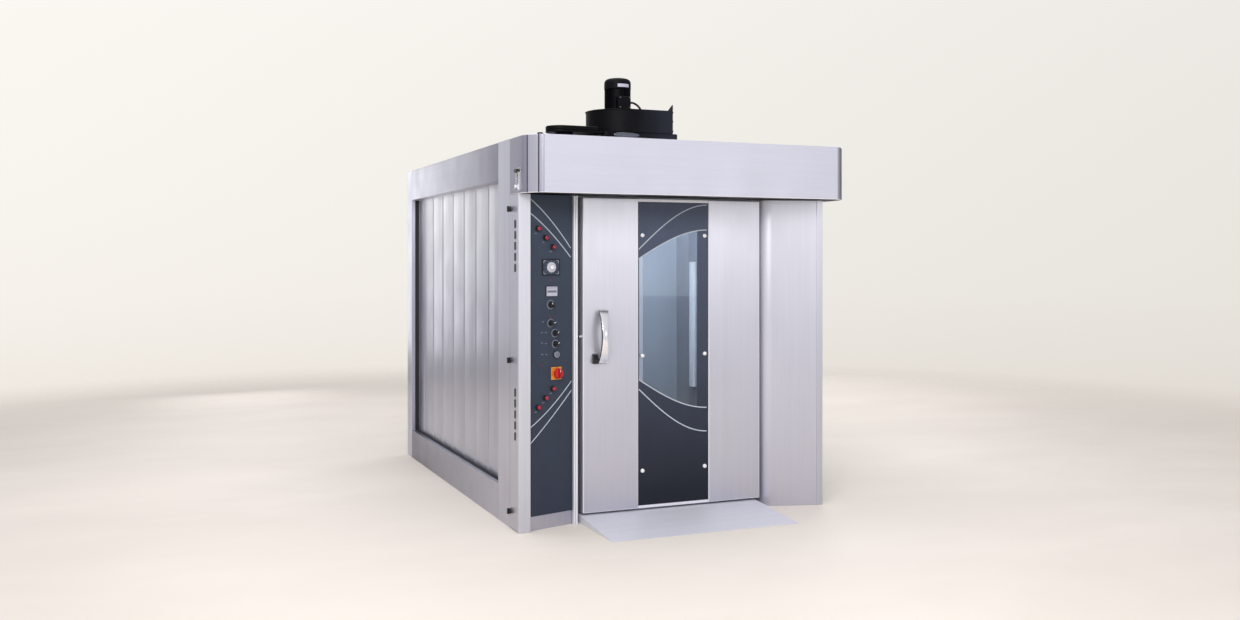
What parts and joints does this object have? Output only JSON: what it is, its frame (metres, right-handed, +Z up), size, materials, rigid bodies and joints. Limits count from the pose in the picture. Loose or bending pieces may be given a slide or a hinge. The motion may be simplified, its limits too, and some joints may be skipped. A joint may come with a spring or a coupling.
{
  "type": "rotating rack oven",
  "caption": "Walk-in steel baking oven with a turntable, glazed hinged door, splayed control panel, projecting hood and a roof blower.",
  "frame": {"origin": "on the floor, in the middle of the casing footprint (not counting hood, ramp and handle)", "axes": "+X to the right seen from the door side, -Y toward the person at the door, +Z up"},
  "size_m": [2.177, 3.36, 2.7203],
  "materials": {
    "steel": "brushed stainless, satin",
    "steel_shade": "brushed stainless, satin",
    "hood_steel": "brushed stainless, fine satin",
    "panel_paint": "dark slate, semi-gloss",
    "dark_glass": "back-painted slate border, clear window",
    "clear_glass": "clear",
    "black_paint": "black, satin",
    "black_plastic": "black",
    "red_plastic": "red",
    "white_plastic": "white",
    "chrome": "polished",
    "dark_steel": "dark grey",
    "cast_iron": "as cast",
    "insulated": "sheet box round insulation",
    "silicone": "silicone seal",
    "lamp_glass": "frosted"
  },
  "bodies": {
    "root": {"base_pan": "dark_steel", "chamber_floor": "steel_shade", "chamber_left_wall": "insulated", "chamber_right_wall": "insulated", "air_duct_panel": "steel_shade", "chamber_ceiling": "insulated", "rear_partition": "insulated", "chamber_lamp": "lamp_glass", "drive_chain": "cast_iron", "drive_gearmotor": "black_paint", "circulation_motor": "black_paint", "heat_exchanger": "cast_iron", "steam_cascade": "cast_iron", "front_left_post": "steel", "control_panel": "panel_paint", "kick_plate": "steel_shade", "jamb_profile": "steel", "right_front_panel": "steel", "left_front_cover": "steel_shade", "right_front_cover": "steel_shade", "left_top_fascia": "steel_shade", "right_top_fascia": "steel_shade", "left_bottom_rail": "steel_shade", "right_bottom_rail": "steel_shade", "left_cladding": "steel_shade", "right_cladding": "steel_shade", "rear_panel": "steel_shade", "roof_panel": "steel_shade", "hood_shell": "hood_steel", "hood_baffle": "black_paint", "latch_base": "chrome", "door_portal": "insulated", "entry_ramp": "steel_shade", "blower_scroll": "black_paint", "blower_motor": "black_paint", "motor_conduit": "black_plastic", "blower_base": "black_paint"},
    "door": {"door_leaf": "steel", "door_outer_glass": "dark_glass", "door_inner_glass": "clear_glass", "door_gasket": "silicone"},
    "handle": {"door_handle": "chrome"},
    "bolt": {"latch_bolt": "chrome"},
    "service_cover": {"service_cover": "steel_shade"},
    "lock_1": {"cover_lock_1": "black_plastic"},
    "lock_2": {"cover_lock_2": "black_plastic"},
    "lock_3": {"cover_lock_3": "black_plastic"},
    "hood_latch": {"latch_lever": "chrome"},
    "turntable": {"turntable": "steel_shade"},
    "drive_sprocket": {"drive_sprocket": "dark_steel"},
    "circulation_fan": {"circulation_fan": "dark_steel"},
    "blower_wheel": {"blower_wheel": "dark_steel"},
    "timer_knob": {"timer_knob": "white_plastic"},
    "thermostat_knob": {"thermostat_knob": "black_plastic"},
    "fan_selector": {"fan_selector": "black_plastic"},
    "light_selector": {"light_selector": "black_plastic"},
    "rotation_selector": {"rotation_selector": "black_plastic"},
    "steam_button": {"steam_button": "white_plastic"},
    "main_switch": {"main_switch": "red_plastic"}
  },
  "joints": [
    {"name": "door_hinge", "type": "hinge", "parent": "root", "child": "door", "pos_m": [0.61, -1.35, 1], "axis": [0, 0, 1], "range_deg": [0, 115]},
    {"name": "handle_pivot", "type": "hinge", "parent": "door", "child": "handle", "pos_m": [-0.478, -1.386, 0.97], "axis": [1, 0, 0], "range_deg": [0, 25], "stiffness_Nm_per_rad": 2},
    {"name": "bolt_slide", "type": "slide", "parent": "door", "child": "bolt", "axis": [1, 0, 0], "range_m": [0, 0.012]},
    {"name": "service_cover_hinge", "type": "hinge", "parent": "root", "child": "service_cover", "pos_m": [-1.03, -1.4597, 0.985], "axis": [0, 0, 1], "range_deg": [0, 100]},
    {"name": "hood_latch_hinge", "type": "hinge", "parent": "root", "child": "hood_latch", "pos_m": [-1.046, -1.44, 2.004], "axis": [0, -1, 0], "range_deg": [0, 120]},
    {"name": "turntable_spin", "type": "hinge", "parent": "root", "child": "turntable", "pos_m": [0.018, -0.5395, 0.03], "axis": [0, 0, 1], "continuous": true},
    {"name": "drive_sprocket_spin", "type": "hinge", "parent": "root", "child": "drive_sprocket", "pos_m": [0.018, 1.1907, 0.03], "axis": [0, 0, 1], "continuous": true},
    {"name": "circulation_fan_spin", "type": "hinge", "parent": "root", "child": "circulation_fan", "pos_m": [0.018, 0.9407, 1.64], "axis": [0, 1, 0], "continuous": true},
    {"name": "blower_wheel_spin", "type": "hinge", "parent": "root", "child": "blower_wheel", "pos_m": [-0.285, -1.18, 2.42], "axis": [0, 0, 1], "continuous": true},
    {"name": "cover_lock_1_turn", "type": "hinge", "parent": "service_cover", "child": "lock_1", "pos_m": [-1.03, -1.33, 0.103], "axis": [-1, 0, 0], "range_deg": [0, 90]},
    {"name": "cover_lock_2_turn", "type": "hinge", "parent": "service_cover", "child": "lock_2", "pos_m": [-1.03, -1.33, 0.992], "axis": [-1, 0, 0], "range_deg": [0, 90]},
    {"name": "cover_lock_3_turn", "type": "hinge", "parent": "service_cover", "child": "lock_3", "pos_m": [-1.03, -1.33, 1.884], "axis": [-1, 0, 0], "range_deg": [0, 90]},
    {"name": "timer_turn", "type": "hinge", "parent": "root", "child": "timer_knob", "pos_m": [-0.812, -1.41541, 1.54], "axis": [-0.2823, 0.9593, 0], "range_deg": [0, 300]},
    {"name": "thermostat_turn", "type": "hinge", "parent": "root", "child": "thermostat_knob", "pos_m": [-0.812, -1.41541, 1.32], "axis": [-0.2823, 0.9593, 0], "range_deg": [0, 270]},
    {"name": "fan_selector_turn", "type": "hinge", "parent": "root", "child": "fan_selector", "pos_m": [-0.812, -1.41541, 1.211], "axis": [-0.2823, 0.9593, 0], "range_deg": [-45, 45]},
    {"name": "light_selector_turn", "type": "hinge", "parent": "root", "child": "light_selector", "pos_m": [-0.783, -1.40688, 1.15], "axis": [-0.2823, 0.9593, 0], "range_deg": [-45, 45]},
    {"name": "rotation_selector_turn", "type": "hinge", "parent": "root", "child": "rotation_selector", "pos_m": [-0.78, -1.406, 1.086], "axis": [-0.2823, 0.9593, 0], "range_deg": [-45, 45]},
    {"name": "main_switch_turn", "type": "hinge", "parent": "root", "child": "main_switch", "pos_m": [-0.774, -1.40423, 0.912], "axis": [-0.2823, 0.9593, 0], "range_deg": [0, 90]},
    {"name": "steam_button_press", "type": "slide", "parent": "root", "child": "steam_button", "axis": [-0.2823, 0.9593, 0], "range_m": [0, 0.0025], "stiffness_N_per_m": 300}
  ],
  "couplings": [
    {"joint": "bolt_slide", "follows": "handle_pivot", "m_per_rad": 0.027502},
    {"joint": "drive_sprocket_spin", "follows": "turntable_spin", "ratio": 3}
  ]
}
